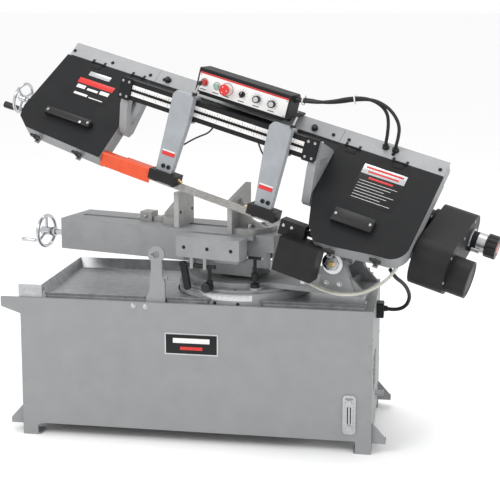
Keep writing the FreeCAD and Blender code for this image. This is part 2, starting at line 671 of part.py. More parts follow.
def tension_slide():
    """Slide behind the housing that carries the idler axle."""
    block = box(-1190, -1086, 94.6, 173.4, 100, HOUSING_N - 0.5)
    block = block.cut(rod("x", SCREW_P, SCREW_N, -1191, -1146, 8 + RUN))
    axle = rod("z", IDLER_S, WHEEL_P, HOUSING_N - 1, 191, 15)
    return join(block, axle, rod("z", IDLER_S, WHEEL_P, HOUSING_N - 1, 143.5, 18))


def tension_handwheel():
    """Tension screw with its handwheel and grip."""
    wheel = handwheel(SCREW_P, SCREW_N, -1425, 58, 6, 14, -1438, -1410, 4, 3)
    wheel = wheel.fuse(rod("x", SCREW_P, SCREW_N, -1437, -1150, 8))
    grip = Part.makeCone(12.5, 9.5, 84, V(-1515, SCREW_P - 26.3, SCREW_N - 49.4), V(1, 0, 0))
    return join(wheel, grip, rod("x", SCREW_P - 26.3, SCREW_N - 49.4, -1433, -1421, 6))


def cover(shape, gap_lo, gap_hi, handle, knuckles):
    """Hinged wheel cover with hinge barrels and a pull handle (left, right, low, high)."""
    corners = []
    for c in shape:
        s = c[0]
        if gap_hi and s == -940:
            s = -941.5
        if gap_lo and s == -144:
            s = -142.5
        p = 324 if c[1] == 326 else c[1]
        corners.append((s, p) + tuple(c[2:]))
    plate = prism("xy", corners, COVER_N, COVER_N + 3)
    a, b, lo, hi = handle
    grip = prism("xy", [(a, lo, 8), (b, lo, 8), (b, hi, 8), (a, hi, 8)], COVER_N + 2.5, COVER_N + 22)
    grip = grip.cut(box(a + 22, b - 22, lo - 1, hi + 1, COVER_N + 3.4, COVER_N + 12))
    barrels = [rod("x", 324, 205.2, s, s + 40, 3) for s in knuckles]
    return join(plate, grip, *barrels)


def cover_knob(s, w):
    """Wing knob at the lower rim of a wheel housing."""
    stem = rod("z", s, -w, 173.2, 196, 5)
    hub = rod("z", s, -w, 192, 203, 9)
    wing = prism("xy", [(s - 21, -w - 5, 4), (s + 21, -w - 5, 4), (s + 21, -w + 5, 4), (s - 21, -w + 5, 4)],
                 196, 206)
    return join(stem, hub, wing)


# ---- drive --------------------------------------------------------------------------
BELT_A = (199.0, 176.0)
BELT_B = (-8.0, 100.0)
MOTOR = (199.0, 166.0)
WORM = (-8.0, 112.0)
COVER_LO = 258.0
COVER_HI = 383.0


def gearbox():
    """Worm gearbox on the back of the right housing."""
    case = to_head(join(rod("z", DRIVE_S, WHEEL_P, 62, HOUSING_N, 48),
                        rod("z", DRIVE_S, WHEEL_P, 126, HOUSING_N, 62)))
    worm = rod("x", WORM[0], WORM[1], -30, COVER_LO, 26)
    case = join(case, worm)
    case = case.cut(to_head(rod("z", DRIVE_S, WHEEL_P, 88, 140, 17.5 + RUN)))
    return case.cut(rod("x", WORM[0], WORM[1], 204, COVER_LO + 1, 10 + RUN))


def drive_motor():
    """Electric motor with its terminal box, mounting plates and fan cover."""
    y, z = MOTOR
    body = rod("x", y, z, -20, 236, 58)
    fan = rod("x", y, z, -58, -20, 61)
    flange = rod("x", y, z, 236, COVER_LO, 66)
    box_top = box(60, 150, y - 20, y + 52, z + 44, z + 84)
    feet = [to_head(box(s, s + 12, 205, 310, -20, HOUSING_N)) for s in (30, 150)]
    motor = join(body, fan, flange, box_top, feet[0], feet[1])
    return motor.cut(rod("x", y, z, 214, COVER_LO + 1, 12 + RUN))


def belt_profile(lo, hi, less):
    return hull_of_two("yz", BELT_A, 80 - less, BELT_B, 92 - less, lo, hi)


def belt_cover():
    """Variable-speed belt guard with lower bulge, speed hub and plunger pin."""
    y, z = MOTOR
    outer = belt_profile(COVER_LO, COVER_HI, 0).fuse(rod("x", -2, 81, 378, 451, 65))
    inner = belt_profile(COVER_LO + 3, COVER_HI - 3, 3).fuse(rod("x", -2, 81, 375, 448, 62))
    guard = outer.cut(inner)
    guard = guard.cut(rod("x", WORM[0], WORM[1], 250, 265, 16)).cut(rod("x", y, z, 250, 265, 18))
    guard = guard.fuse(rod("x", y, z, COVER_HI - 1, 440, 34))
    guard = guard.fuse(rod("x", y - 30, z - 25, COVER_HI - 1, 425, 7))
    guard = guard.fuse(rod("x", y - 30, z - 25, COVER_HI - 1, 397, 11))
    return guard.cut(rod("x", y, z, 424, 441, 9 + RUN)).removeSplitter()


def pulley(centre, shaft_lo, shaft_r):
    """Vee pulley with its shaft."""
    y, z = centre
    low = Part.makeCone(38, 24, 16, V(302, y, z), V(1, 0, 0))
    high = Part.makeCone(24, 38, 16, V(318, y, z), V(1, 0, 0))
    return join(low, high, rod("x", y, z, shaft_lo, 344, shaft_r))


def drive_belt():
    """Vee belt round the two pulleys, a loop of even section."""
    outer = hull_of_two("yz", MOTOR, 36.6, WORM, 36.5, 313, 323)
    inner = hull_of_two("yz", MOTOR, 29.6, WORM, 29.5, 312, 324)
    return outer.cut(inner)


def speed_handwheel():
    """Fluted speed knob."""
    y, z = MOTOR
    knob = rod("x", y, z, 440.5, 480, 42)
    for i in range(12):
        a = 2 * math.pi * i / 12
        knob = knob.cut(rod("x", y + 45 * math.cos(a), z + 45 * math.sin(a), 446, 481, 7))
    knob = knob.cut(rod("x", y, z, 475, 481, 22))
    return join(knob, rod("x", y, z, 426, 442, 9), rod("x", y, z, 474, 478, 20))


# ---- cables and hoses ---------------------------------------------------------------
CABLE_A = [(-293, -66, 500), (-262, -62, 505), (-215, -55, 514), (-165, -42, 532), (-115, -26, 558),
           (-65, -6, 571), (-22, 22, 562), (6, 46, 536), (16, 62, 500), (21, 72, 455), (19, 86, 424),
           (19, 102, 406.5)]
CABLE_B = [(-293, -48, 502), (-258, -46, 512), (-205, -40, 516), (-150, -28, 532), (-98, -12, 556),
           (-44, 4, 572), (4, 26, 560), (36, 46, 534), (58, 60, 500), (61, 72, 460), (57, 86, 424),
           (56, 102, 406.5)]
HOSES = [(505, -118, 612), (556, -113, 588), (612, -110, 577), (668, -110, 579), (724, -110, 596),
         (776, -110, 630), (812, -108, 666), (828.4, -104.2, 702.5)]
HOSE_B = [(x, y - 13, z - 1) for x, y, z in HOSES[:-1]] + [(822.9, -118.2, 687.8)]
SUPPLY = [(668, 15, 455), (702, 16, 449), (742, 6, 466), (758, -20, 506), (752, -64, 548),
          (733, -118, 588), (708, -175, 618), (690, -196, 652)]


def head_lines():
    """Two cables from the control box into the top of the head, and two small guide hoses."""
    first = tube("first cable", CABLE_A, 6)
    second = tube("second cable", CABLE_B, 6)
    left = tube("left guide hose", [(-656, -100, 226), (-630, -100, 252), (-598, -101, 278),
                                    (-566, -104, 300), (-552, -112, 326)], 3)
    right = tube("right guide hose", [(-330, -100, 262), (-341, -100, 282), (-360, -101, 300),
                                      (-371, -112, 326)], 3)
    return Part.makeCompound([first, second, left, right])


def build():
    base = {
        "front_panel": front_panel(), "cabinet": cabinet(), "chip_tray": chip_tray(),
        "coolant_tank": coolant_tank(), "sight_gauge": sight_gauge(), "inlet_box": inlet_box(),
        "stop_arm": stop_arm(),
    }
    upper = {
        "turntable_disc": turntable_disc(), "vise_bed": vise_bed(), "front_table": front_table(),
        "fixed_jaw": fixed_jaw(), "movable_jaw": movable_jaw(), "vise_screw": vise_screw(),
        "vise_handwheel": vise_handwheel(), "swivel_lock_lever": swivel_lock_lever(),
        "angle_lock_lever": angle_lock_lever(), "swivel_arm": swivel_arm(), "pivot_shaft": pivot_shaft(),
    }
    head = {
        "head_frame": head_frame(), "black_guards": black_guards(), "guide_bar": guide_bar(),
        "left_guide_arm": guide_arm((-709, -627, 423), (-711, -648, 125.5)),
        "right_guide_arm": guide_arm((-325, -242, 423), (-309, -246, 125.5)),
        "left_guide_block": guide_block(-727, -618, 36), "right_guide_block": guide_block(-326, -217, 36),
        "left_clamp_lever": clamp_lever(-634, 11), "right_clamp_lever": clamp_lever(-247, 9),
        "blade_guard_fixed": guard_section(-939.8, -800, 0), "blade_guard_slide": guard_section(-850, -727.2, 3),
        "control_box": control_box(), "pilot_lamp": pilot_lamp(), "start_button": start_button(),
        "stop_button": stop_button(), "mode_selector": panel_knob(-473, 11, 8, True),
        "coolant_knob": panel_knob(-414, 13, 16, False), "speed_dial": panel_knob(-355, 13, 14, False),
        "gearbox": gearbox(), "drive_motor": drive_motor(), "belt_cover": belt_cover(),
        "gear_pulley": pulley(WORM, 205, 10), "motor_pulley": pulley(MOTOR, 215, 12),
        "drive_belt": drive_belt(), "speed_handwheel": speed_handwheel(), "head_lines": head_lines(),
    }
    wheel = {
        "left_housing": left_housing(), "right_housing": right_housing(), "top_plates": top_plates(),
        "blade": blade(), "drive_wheel": drive_wheel(), "idler_wheel": band_wheel(IDLER_S, 144, 15.05),
        "tension_slide": tension_slide(), "tension_handwheel": tension_handwheel(),
        "left_cover": cover(LEFT_SHAPE, False, True, (-1241, -1038, 38, 69), (-1190, -1010)),
        "right_cover": cover(RIGHT_SHAPE, True, False, (-38, 113, 16, 70), (-110, 70)),
        "left_cover_knob_a": cover_knob(-1222, 62), "left_cover_knob_b": cover_knob(-1029, 70),
        "right_cover_knob_a": cover_knob(8, 90), "right_cover_knob_b": cover_knob(165, 66),
    }
    for group, frame in ((base, BASE), (upper, UPPER), (head, HEAD), (wheel, WHEEL)):
        for name, shape in group.items():
            save(name, shape, frame)
    hoses = Part.makeCompound([tube("clear hose", HOSES, 5.5), tube("second clear hose", HOSE_B, 5.5)])
    save("pvc_hoses", hoses, UPPER)
    save("supply_conduit", tube("supply conduit", SUPPLY, 7), BASE)


build()
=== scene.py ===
import bmesh
import bpy
import math
from mathutils import Matrix, Vector


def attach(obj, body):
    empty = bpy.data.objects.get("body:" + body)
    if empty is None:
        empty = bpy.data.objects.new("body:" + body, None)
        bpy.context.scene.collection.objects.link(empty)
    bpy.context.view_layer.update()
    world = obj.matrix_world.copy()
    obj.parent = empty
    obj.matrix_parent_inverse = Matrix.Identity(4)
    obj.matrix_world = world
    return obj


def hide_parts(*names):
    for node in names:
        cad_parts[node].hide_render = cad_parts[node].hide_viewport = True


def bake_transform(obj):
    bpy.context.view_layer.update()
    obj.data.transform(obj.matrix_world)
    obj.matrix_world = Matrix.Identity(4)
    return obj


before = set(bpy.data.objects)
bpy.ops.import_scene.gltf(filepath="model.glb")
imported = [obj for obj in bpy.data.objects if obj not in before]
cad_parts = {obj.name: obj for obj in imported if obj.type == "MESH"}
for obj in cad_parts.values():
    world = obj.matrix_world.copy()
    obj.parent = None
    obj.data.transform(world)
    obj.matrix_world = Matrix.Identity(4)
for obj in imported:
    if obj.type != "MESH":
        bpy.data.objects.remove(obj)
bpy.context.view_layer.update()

# ---- frames, in millimetres ----------------------------------------------------------
BASE = Matrix.Identity(4)
UPPER = Matrix.Translation((-50, 0, 0)) @ Matrix.Rotation(math.radians(-15), 4, "Z")
HEAD = UPPER @ Matrix.Translation((590, 0, 678)) @ Matrix.Rotation(math.radians(14.7), 4, "Y")
WHEEL = HEAD @ Matrix.Rotation(math.radians(46.8), 4, "X")
TABLE = UPPER @ Matrix.Translation((195, 40, 0))
MM = 0.001
RIGHT, LEFT = (1, 0, 0), (-1, 0, 0)
BACK, FRONT = (0, 1, 0), (0, -1, 0)
UP, DOWN = (0, 0, 1), (0, 0, -1)

# ---- places that several pieces share, in the frame named beside each ----------------
PANEL_FACE = -270                            # base: y of the front panel
DIAL_Z = 471                                 # head: height of the buttons and dials
DIAL_S = (-625, -575, -533, -473, -414, -355)  # head: lamp, start, stop, selector, two knobs
STOP_S = -533                                # head: the stop button
WHEEL_P = 134                                # wheel: height of both band-wheel axles
IDLER_S, DRIVE_S = -1138, 54                 # wheel: the two axles
SHEET_N = 202.2                              # wheel: just under the outer face of a cover
HINGE_P, HINGE_N = 324, 205.2                # wheel: the line the covers open about
PLATE_N = 203                                # wheel: outer face of the top plates
PIVOT_X, PIVOT_Z = 590, 678                  # upper: the head's pivot
MOTOR_Y, MOTOR_Z = 199, 166                  # head: the motor's axis


# ---- materials -----------------------------------------------------------------------
def link(tree, a, out, b, inp):
    tree.links.new(a.outputs[out], b.inputs[inp])


def material(name, rgb, rough, metal=0.0, grain=14.0, stretch=(1, 1, 1), vary=0.10, bump=0.05,
             fine=700.0, dirt=0.15, dirt_rgb=(0.10, 0.085, 0.07), coat=0.0, clear=0.0, spec=0.5):
    """Worn surface: slow colour drift, patchy grime, varying gloss, a fine grain and softened edges."""
    m = bpy.data.materials.new(name)
    m.use_nodes = True
    t = m.node_tree
    n = t.nodes
    shader = n["Principled BSDF"]
    shader.inputs["Metallic"].default_value = metal
    shader.inputs["Specular IOR Level"].default_value = spec
    shader.inputs["Coat Weight"].default_value = coat
    shader.inputs["Coat Roughness"].default_value = 0.25
    shader.inputs["Transmission Weight"].default_value = clear
    coord = n.new("ShaderNodeTexCoord")
    mapping = n.new("ShaderNodeMapping")
    mapping.inputs["Scale"].default_value = stretch
    link(t, coord, "Object", mapping, "Vector")
    slow = n.new("ShaderNodeTexNoise")
    slow.inputs["Scale"].default_value = grain
    slow.inputs["Detail"].default_value = 7.0
    slow.inputs["Roughness"].default_value = 0.6
    link(t, mapping, "Vector", slow, "Vector")
    shades = n.new("ShaderNodeValToRGB")
    low, high = shades.color_ramp.elements
    low.position, high.position = 0.30, 0.70
    low.color = tuple(c * (1 - vary) for c in rgb) + (1,)
    high.color = tuple(min(1.0, c * (1 + vary)) for c in rgb) + (1,)
    link(t, slow, "Fac", shades, "Fac")
    patches = n.new("ShaderNodeTexNoise")
    patches.inputs["Scale"].default_value = 5.5
    patches.inputs["Detail"].default_value = 9.0
    patches.inputs["Roughness"].default_value = 0.72
    link(t, coord, "Object", patches, "Vector")
    spread = n.new("ShaderNodeMapRange")
    spread.inputs["From Min"].default_value = 0.52
    spread.inputs["From Max"].default_value = 0.78
    spread.inputs["To Max"].default_value = dirt
    link(t, patches, "Fac", spread, "Value")
    mix = n.new("ShaderNodeMix")
    mix.data_type = "RGBA"
    mix.inputs["B"].default_value = tuple(dirt_rgb) + (1,)
    link(t, spread, "Result", mix, "Factor")
    link(t, shades, "Color", mix, "A")
    t.links.new(mix.outputs["Result"], shader.inputs["Base Color"])
    gloss = n.new("ShaderNodeMapRange")
    gloss.inputs["To Min"].default_value = max(0.04, rough - 0.09)
    gloss.inputs["To Max"].default_value = min(1.0, rough + 0.11)
    link(t, slow, "Fac", gloss, "Value")
    link(t, gloss, "Result", shader, "Roughness")
    tiny = n.new("ShaderNodeTexNoise")
    tiny.inputs["Scale"].default_value = fine
    tiny.inputs["Detail"].default_value = 3.0
    link(t, mapping, "Vector", tiny, "Vector")
    edge = n.new("ShaderNodeBevel")
    edge.samples = 3
    edge.inputs["Radius"].default_value = 0.0012
    relief = n.new("ShaderNodeBump")
    relief.inputs["Strength"].default_value = bump
    relief.inputs["Distance"].default_value = 0.0006
    link(t, tiny, "Fac", relief, "Height")
    link(t, edge, "Normal", relief, "Normal")
    link(t, relief, "Normal", shader, "Normal")
    return m


M = {
    "grey": material("satin_grey_paint", (0.235, 0.241, 0.246), 0.45, bump=0.10, vary=0.05, dirt=0.08,
                     spec=0.35),
    "grey_cast": material("painted_casting", (0.225, 0.23, 0.236), 0.5, bump=0.5, fine=260, dirt=0.18),
    "charcoal": material("charcoal_paint", (0.011, 0.0115, 0.0125), 0.48, bump=0.10, vary=0.12,
                         dirt=0.12, dirt_rgb=(0.055, 0.045, 0.035), spec=0.16),
    "light": material("light_grey_paint", (0.275, 0.282, 0.29), 0.42, bump=0.08, vary=0.06, dirt=0.10),
    "arm": material("blue_grey_casting", (0.27, 0.285, 0.305), 0.45, bump=0.35, fine=320, dirt=0.15),
    "black": material("black_paint", (0.012, 0.012, 0.013), 0.45, bump=0.12, vary=0.2, dirt=0.08,
                      dirt_rgb=(0.09, 0.08, 0.07), spec=0.2),
    "orange": material("orange_paint", (0.60, 0.062, 0.010), 0.40, bump=0.08, dirt=0.12),
    "red": material("red_paint", (0.55, 0.018, 0.014), 0.35, bump=0.06, dirt=0.08),
    "iron": material("machined_iron", (0.34, 0.33, 0.32), 0.36, 0.85, grain=5, stretch=(3, 160, 160),
                     vary=0.22, bump=0.3, fine=30, dirt=0.35, dirt_rgb=(0.16, 0.12, 0.09)),
    "cast": material("bare_casting", (0.33, 0.33, 0.325), 0.52, 0.5, vary=0.18, bump=0.6, fine=300,
                     dirt=0.3, dirt_rgb=(0.15, 0.125, 0.105)),
    "steel": material("turned_steel", (0.44, 0.44, 0.455), 0.27, 0.95, grain=6, stretch=(60, 4, 60),
                      vary=0.15, bump=0.15, fine=60, dirt=0.15),
    "chrome": material("chromed_steel", (0.50, 0.51, 0.53), 0.12, 1.0, vary=0.05, bump=0.03, dirt=0.08),
    "zinc": material("galvanised_sheet", (0.40, 0.41, 0.42), 0.40, 0.75, grain=38, vary=0.22, bump=0.12,
                     fine=220, dirt=0.2, dirt_rgb=(0.25, 0.22, 0.18)),
    "blade": material("blade_steel", (0.30, 0.29, 0.28), 0.33, 0.9, grain=9, stretch=(2, 30, 30),
                      vary=0.3, bump=0.15, dirt=0.3, dirt_rgb=(0.12, 0.10, 0.08)),
    "plastic": material("black_plastic", (0.014, 0.014, 0.015), 0.38, bump=0.2, fine=500, dirt=0.05,
                        spec=0.3),
    "rubber": material("black_rubber", (0.018, 0.018, 0.018), 0.55, bump=0.4, fine=350, dirt=0.1,
                       spec=0.3),
    "red_gloss": material("red_plastic", (0.52, 0.012, 0.012), 0.20, bump=0.04, coat=0.4, dirt=0.03),
    "lamp": material("lamp_lens", (0.60, 0.03, 0.02), 0.12, bump=0.05, coat=0.6, clear=0.35, dirt=0.02),
    "green": material("grey_green_plastic", (0.22, 0.36, 0.29), 0.25, bump=0.04, coat=0.3, dirt=0.03),
    "hose": material("clear_hose", (0.70, 0.69, 0.62), 0.18, bump=0.03, coat=0.5, clear=0.55, dirt=0.10),
    "white": material("white_print", (0.68, 0.67, 0.66), 0.36, vary=0.03, bump=0.03, dirt=0.07),
    "silver": material("silver_plate", (0.52, 0.53, 0.545), 0.28, 0.8, stretch=(40, 3, 40), vary=0.08,
                       bump=0.08, dirt=0.05),
    "brass": material("brass", (0.70, 0.50, 0.20), 0.28, 0.95, vary=0.12, bump=0.08, dirt=0.15),
}

NODE_LOOKS = {
    "grey": ["front_panel", "cabinet", "stop_arm", "left_housing", "right_housing"],
    "grey_cast": ["swivel_arm", "vise_bed", "front_table", "turntable_disc", "gearbox"],
    # control_box holds a charcoal flange plate with a front lip under the box: partly a support bracket,
    # partly a dark sheet put where the box's shadow falls on the bar
    "charcoal": ["left_cover", "right_cover", "guide_bar", "control_box", "drive_motor"],
    "light": ["top_plates", "head_frame"],
    "arm": ["left_guide_arm", "right_guide_arm"],
    # black_guards holds a black channel under the beam between the housings: partly a real guard round
    # the blade's return run, partly a dark box put where the shade under the top plate falls
    "black": ["black_guards", "belt_cover", "inlet_box", "left_guide_block", "right_guide_block",
              "swivel_lock_lever", "angle_lock_lever"],
    "orange": ["blade_guard_fixed", "blade_guard_slide"],
    "cast": ["movable_jaw", "fixed_jaw", "drive_wheel", "idler_wheel"],
    "iron": ["tension_slide", "gear_pulley", "motor_pulley"],
    "steel": ["vise_screw", "pivot_shaft", "left_clamp_lever", "right_clamp_lever", "sight_gauge"],
    "chrome": ["vise_handwheel", "tension_handwheel"],
    "zinc": ["chip_tray", "coolant_tank"],
    "blade": ["blade"],
    "plastic": ["mode_selector", "coolant_knob", "speed_dial", "left_cover_knob_a", "left_cover_knob_b",
                "right_cover_knob_a", "right_cover_knob_b", "speed_handwheel"],
    "red_gloss": ["stop_button"],
    "lamp": ["pilot_lamp"],
    "green": ["start_button"],
    "rubber": ["drive_belt", "head_lines", "supply_conduit"],
    "hose": ["pvc_hoses"],
}
for look, names in NODE_LOOKS.items():
    for name in names:
        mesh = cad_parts[name].data
        mesh.materials.clear()
        mesh.materials.append(M[look])


# ---- building small pieces -----------------------------------------------------------
class Piece:
    """Collects rounded blocks and turned shapes in one frame and makes one mesh of them."""

    def __init__(self, frame_matrix):
        self.frame = frame_matrix
        self.bm = bmesh.new()

    def block(self, x0, x1, y0, y1, z0, z1, r=0.4):
        part = bmesh.new()
        bmesh.ops.create_cube(part, size=1)
        bmesh.ops.scale(part, vec=(x1 - x0, y1 - y0, z1 - z0), verts=part.verts)
        bmesh.ops.translate(part, vec=((x0 + x1) / 2, (y0 + y1) / 2, (z0 + z1) / 2), verts=part.verts)
        if r:
            bmesh.ops.bevel(part, geom=part.edges[:], offset=r, segments=2, profile=0.5, affect="EDGES")
        self.take(part)
        return self

    def turned(self, at, axis, profile, sides=28, spin=0.0):
        """Revolve (distance along the axis, radius) points about an axis through a point."""
        part = bmesh.new()
        rings = []
        for along, radius in profile:
            ring = []
            for i in range(sides):
                a = 2 * math.pi * i / sides + spin
                ring.append(part.verts.new((radius * math.cos(a), radius * math.sin(a), along)))
            rings.append(ring)
        for low, high in zip(rings[:-1], rings[1:]):
            for i in range(sides):
                j = (i + 1) % sides
                part.faces.new((low[i], low[j], high[j], high[i]))
        bmesh.ops.remove_doubles(part, verts=part.verts, dist=1e-4)
        turn = Vector(axis).to_track_quat("Z", "Y").to_matrix().to_4x4()
        bmesh.ops.transform(part, matrix=Matrix.Translation(at) @ turn, verts=part.verts)
        bmesh.ops.recalc_face_normals(part, faces=part.faces)
        self.take(part)
        return self

    def arc(self, r0, r1, z0, z1, a0, a1, steps=40):
        """Curved bar about the frame's Z axis, angles in degrees."""
        part = bmesh.new()
        rings = []
        for i in range(steps + 1):
            a = math.radians(a0 + (a1 - a0) * i / steps)
            c, s = math.cos(a), math.sin(a)
            section = ((r0, z0), (r1, z0), (r1, z1), (r0, z1))
            rings.append([part.verts.new((r * c, r * s, z)) for r, z in section])
        for low, high in zip(rings[:-1], rings[1:]):
            for i in range(4):
                j = (i + 1) % 4
                part.faces.new((low[i], low[j], high[j], high[i]))
        part.faces.new(rings[0])
        part.faces.new(rings[-1])
        bmesh.ops.recalc_face_normals(part, faces=part.faces)
        self.take(part)
        return self

    def take(self, part):
        scratch = bpy.data.meshes.new("scratch")
        part.to_mesh(scratch)
        part.free()
        self.bm.from_mesh(scratch)
        bpy.data.meshes.remove(scratch)

    def done(self, name, body, look):
        bmesh.ops.transform(self.bm, matrix=Matrix.Scale(MM, 4) @ self.frame, verts=self.bm.verts)
        mesh = bpy.data.meshes.new(name)
        self.bm.to_mesh(mesh)
        self.bm.free()
        mesh.materials.append(M[look])
        obj = bpy.data.objects.new(name, mesh)
        bpy.context.scene.collection.objects.link(obj)
        for face in mesh.polygons:
            face.use_smooth = True
        mesh.set_sharp_from_angle(angle=math.radians(35))
        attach(obj, body)
        return obj


def socket_screw(piece, at, axis, r, h):
    piece.turned(at, axis, [(-0.5, 0), (-0.5, r), (h * 0.8, r), (h, r * 0.86), (h, r * 0.5),
                            (h * 0.4, r * 0.46), (h * 0.4, 0)])


def round_screw(piece, at, axis, r, h):
    piece.turned(at, axis, [(-0.5, 0), (-0.5, r), (h * 0.35, r), (h * 0.8, r * 0.72),
                            (h, r * 0.3), (h, 0)], 20)


def hex_bolt(piece, at, axis, across, h, washer=1.35):
    r = across / math.sqrt(3)
    piece.turned(at, axis, [(-0.5, 0), (-0.5, r * washer), (1.4, r * washer), (1.4, 0)], 28)
    piece.turned(at, axis, [(1.2, 0), (1.2, r), (h * 0.85, r), (h, r * 0.82), (h, 0)], 6, 0.3)


# ---- base ----------------------------------------------------------------------------
emblem = Piece(BASE)
emblem.block(-101, 94, -272.2, -269.6, 330, 410, 1.2)
emblem.done("emblem_border", "base", "silver")
emblem = Piece(BASE)
emblem.block(-96, 89, -273.0, -271.4, 335, 405, 0.8)
emblem.done("emblem_field", "base", "black")
emblem = Piece(BASE)
emblem.block(-70, 63, -273.9, -272.6, 374, 392, 0.6)
emblem.done("emblem_white_bar", "base", "white")
emblem = Piece(BASE)
emblem.block(-44, 37, -273.9, -272.6, 349, 361, 0.6)
emblem.done("emblem_red_bar", "base", "red")

bolts = Piece(BASE)
for x, z in ((-214, 503), (-170, 501)):
    hex_bolt(bolts, (x, PANEL_FACE, z), FRONT, 13, 6)
for x in (-560, -300, 0, 300, 560):
    hex_bolt(bolts, (x, 270, 490), (0, 1, 0), 10, 5)
bolts.done("panel_bolts", "base", "steel")

rivets = Piece(BASE)
for z in (120, 210, 300, 390):
    for x in (-628, 628):
        round_screw(rivets, (x, PANEL_FACE, z), FRONT, 4, 2)
for side in (-1, 1):
    for y in (-245, 245):
        for z in (80, 190, 300, 410):
            round_screw(rivets, (side * 637.5, y, z), (side, 0, 0), 4, 2)
rivets.done("panel_rivets", "base", "grey")

gauge = Piece(BASE)
gauge.block(552.6, 566.4, -276.6, -274.8, 112.5, 172.5, 0.3)
gauge.done("gauge_back", "base", "plastic")
gauge = Piece(BASE)
gauge.block(555.4, 563.6, -277.3, -276.4, 118, 171, 0.2)
gauge.done("gauge_red_mark", "base", "red")
gauge = Piece(BASE)
gauge.turned((559.5, -278, 112), (0, 0, 1), [(0, 3.4), (61, 3.4)], 24)
gauge.done("gauge_tube", "base", "lamp")

gland = Piece(BASE)
gland.turned((663.5, 15, 455), (1, 0, 0), [(0, 0), (0, 12), (3, 12), (3, 0)])
gland.turned((666, 15, 455), (1, 0, 0), [(0, 0), (0, 11), (9, 11), (11, 9.6), (11, 7.2), (0, 7.2)], 6)
for y in (-5, 35):
    for z in (435, 475):
        round_screw(gland, (663.5, y - 15, z), (1, 0, 0), 3, 1.6)
gland.done("inlet_gland", "base", "plastic")

louvres = Piece(BASE)
for i in range(7):
    louvres.block(636.8, 640.6, -185, -60, 206 + 18 * i, 213 + 18 * i, 1.2)
louvres.done("end_louvres", "base", "grey")

# ---- turntable scale -----------------------------------------------------------------
scale = Piece(TABLE)
scale.arc(243.6, 244.7, 530, 551, 222, 300)
scale.done("angle_scale", "base", "silver")
ticks = Piece(TABLE)
for i in range(75):
    a = 223.0 + i
    tall = 11 if i % 5 == 2 else 6
    ticks.arc(244.5, 245.0, 551 - tall, 550, a - 0.10, a + 0.10, 1)
ticks.done("angle_scale_marks", "base", "black")
holes = Piece(TABLE)
for a in (228, 248, 268, 288):
    c, s = math.cos(math.radians(a)), math.sin(math.radians(a))
    socket_screw(holes, (243.8 * c, 243.8 * s, 519), (c, s, 0), 6, 2.2)
for a in range(15, 360, 45):
    c, s = math.cos(math.radians(a)), math.sin(math.radians(a))
    socket_screw(holes, (226 * c, 226 * s, 566), (0, 0, 1), 6, 0.6)
holes.done("turntable_screws", "base", "black")

# ---- vise ----------------------------------------------------------------------------
jaw_bolts = Piece(UPPER)
for x, y in ((262, -70), (296, -14)):
    jaw_bolts.turned((x, y, 774), (0, 0, 1), [(0, 0), (0, 14), (2.5, 14), (2.5, 0)], 28)
    hex_bolt(jaw_bolts, (x, y, 776), (0, 0, 1), 17, 11, 1.1)
jaw_bolts.done("fixed_jaw_bolts", "base", "steel")
screws = Piece(UPPER)
for y in (-110, -50, 10):
    socket_screw(screws, (200, y, 800), (-1, 0, 0), 6, 1.2)
screws.done("fixed_jaw_screws", "base", "black")
screws = Piece(UPPER)
for y in (-80, 12):
    socket_screw(screws, (-12, y, 810), (1, 0, 0), 6, 1.2)
screws.done("movable_jaw_screws", "jaw", "black")
lever = Piece(UPPER)
lever.turned((-190, -33, 774), (0, 1, 0), [(0, 0), (0, 4), (3, 6.5), (60, 6.5), (63, 4), (63, 0)], 20)
lever.done("half_nut_pin", "jaw", "steel")
grip = Piece(UPPER)
grip.turned((-737, -54, 644), (1, 0, 0), [(0, 0), (0, 6.2), (2, 7.6), (60, 7.2), (63, 6), (63, 0)], 24)
grip.done("vise_wheel_grip", "screw", "chrome")
collar = Piece(UPPER)
collar.turned((-677, 0, 674), (-1, 0, 0), [(-0.5, 0), (-0.5, 12), (2, 12), (2, 0)], 28)
hex_bolt(collar, (-678.5, 0, 674), (-1, 0, 0), 16, 8, 1.0)
collar.done("vise_wheel_nut", "screw", "steel")
ledge = Piece(UPPER)
for x in (75, 167, 259):
    socket_screw(ledge, (x, -225, 715), FRONT, 6.5, 1.4)
ledge.done("front_table_screws", "base", "black")
ball = Piece(UPPER)
ball.turned((166, -231, 578), FRONT, [(0, 0), (0, 17), (4, 18.5), (9, 17), (12, 11), (13, 0)], 32)
ball.turned((188, -215, 650), (1, 0, 0), [(0, 0), (0, 8), (5, 8), (7, 6), (7, 0)], 24)
ball.done("lock_knob_cap", "swivel_lock", "plastic")
sleeve = Piece(UPPER)
sleeve.turned((112.5, -215, 650), (1, 0, 0), [(0, 6.05), (0, 8.4), (36.5, 8.4), (36.5, 6.05)], 28)
sleeve.done("lock_bar_sleeve", "swivel_lock", "black")
for i, x in enumerate((287, 343)):
    ends = Piece(UPPER)
    ends.turned((x, -150, 682), (1, 0, 0), [(0, 0), (0.5, 5), (3, 7), (6, 5), (6.8, 0)], 20)
    ends.done("angle_lock_end_%d" % (i + 1), "angle_lock", "steel")
pivot = Piece(UPPER)
pivot.turned((PIVOT_X, -101.2, PIVOT_Z), FRONT,
             [(-0.3, 38), (2.4, 38), (3.2, 36.5), (3.2, 24), (-0.3, 24)], 56)
pivot.turned((PIVOT_X, -103.5, PIVOT_Z), FRONT, [(0, 24), (5.8, 22), (5.8, 0)], 6)
pivot.done("pivot_washer", "swivel", "chrome")
pivot = Piece(UPPER)
pivot.turned((PIVOT_X, -109, PIVOT_Z), FRONT,
             [(-0.5, 0), (-0.5, 11), (4, 11), (7, 8), (7, 3), (5, 2.4), (5, 0)], 32)
pivot.done("pivot_grease_nipple", "swivel", "brass")
cheek = Piece(UPPER)
for x in (566, 614):
    for y, d in ((-95, -1), (95, 1)):
        hex_bolt(cheek, (x, y, 606), (0, d, 0), 13, 7)
cheek.done("cheek_bolts", "swivel", "steel")

